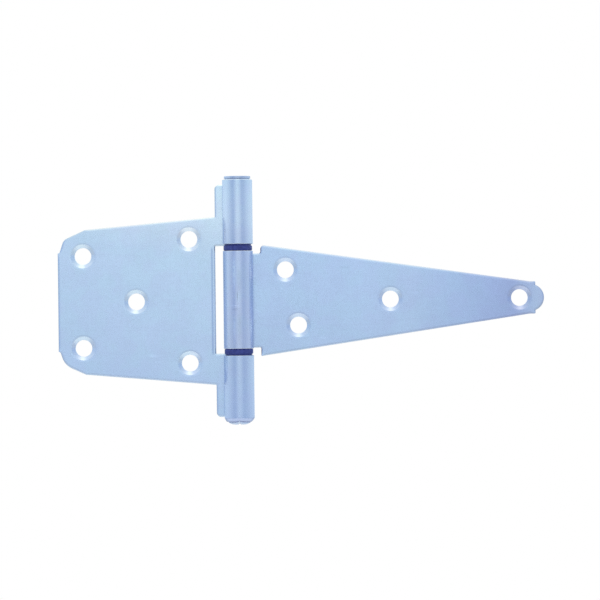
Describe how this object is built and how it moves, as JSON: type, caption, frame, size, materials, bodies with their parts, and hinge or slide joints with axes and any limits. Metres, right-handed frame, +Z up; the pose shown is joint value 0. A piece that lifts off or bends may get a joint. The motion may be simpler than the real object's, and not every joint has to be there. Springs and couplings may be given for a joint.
{
  "type": "t hinge",
  "caption": "Zinc plated T hinge: a tapered strap leaf swings on a riveted pin in the rolled knuckles of a wide post leaf, with nylon washers between the knuckles.",
  "frame": {"origin": "on the mounting plane, straight behind the middle of the pin", "axes": "+Z up along the pin, +X towards the strap's tip, -Y out of the front, where the barrel stands proud of the mounting plane y = 0"},
  "size_m": [0.2424, 0.015, 0.1237],
  "materials": {
    "zinc_plated_steel": "bright blue zinc plate over rolled steel sheet, with a faint sheet grain and handling scratches",
    "pin_steel": "zinc plated steel with a flattened head and a riveted tail",
    "dark_nylon": "dark blue moulded nylon, satin"
  },
  "bodies": {
    "post": {"post_leaf": "zinc_plated_steel", "hinge_pin": "pin_steel"},
    "strap": {"strap_leaf": "zinc_plated_steel"},
    "upper_ring": {"upper_washer": "dark_nylon"},
    "lower_ring": {"lower_washer": "dark_nylon"}
  },
  "joints": [
    {"name": "strap_swing", "type": "hinge", "parent": "post", "child": "strap", "pos_m": [0, -0.00748, 0], "axis": [0, 0, -1], "range_deg": [-110, 180]},
    {"name": "upper_washer_turn", "type": "hinge", "parent": "post", "child": "upper_ring", "pos_m": [0, -0.00748, 0.0265], "axis": [0, 0, -1], "range_deg": [-55, 90]},
    {"name": "lower_washer_turn", "type": "hinge", "parent": "post", "child": "lower_ring", "pos_m": [0, -0.00748, -0.0255], "axis": [0, 0, -1], "range_deg": [-55, 90]}
  ],
  "couplings": [
    {"joint": "upper_washer_turn", "follows": "strap_swing", "ratio": 0.5},
    {"joint": "lower_washer_turn", "follows": "strap_swing", "ratio": 0.5}
  ]
}
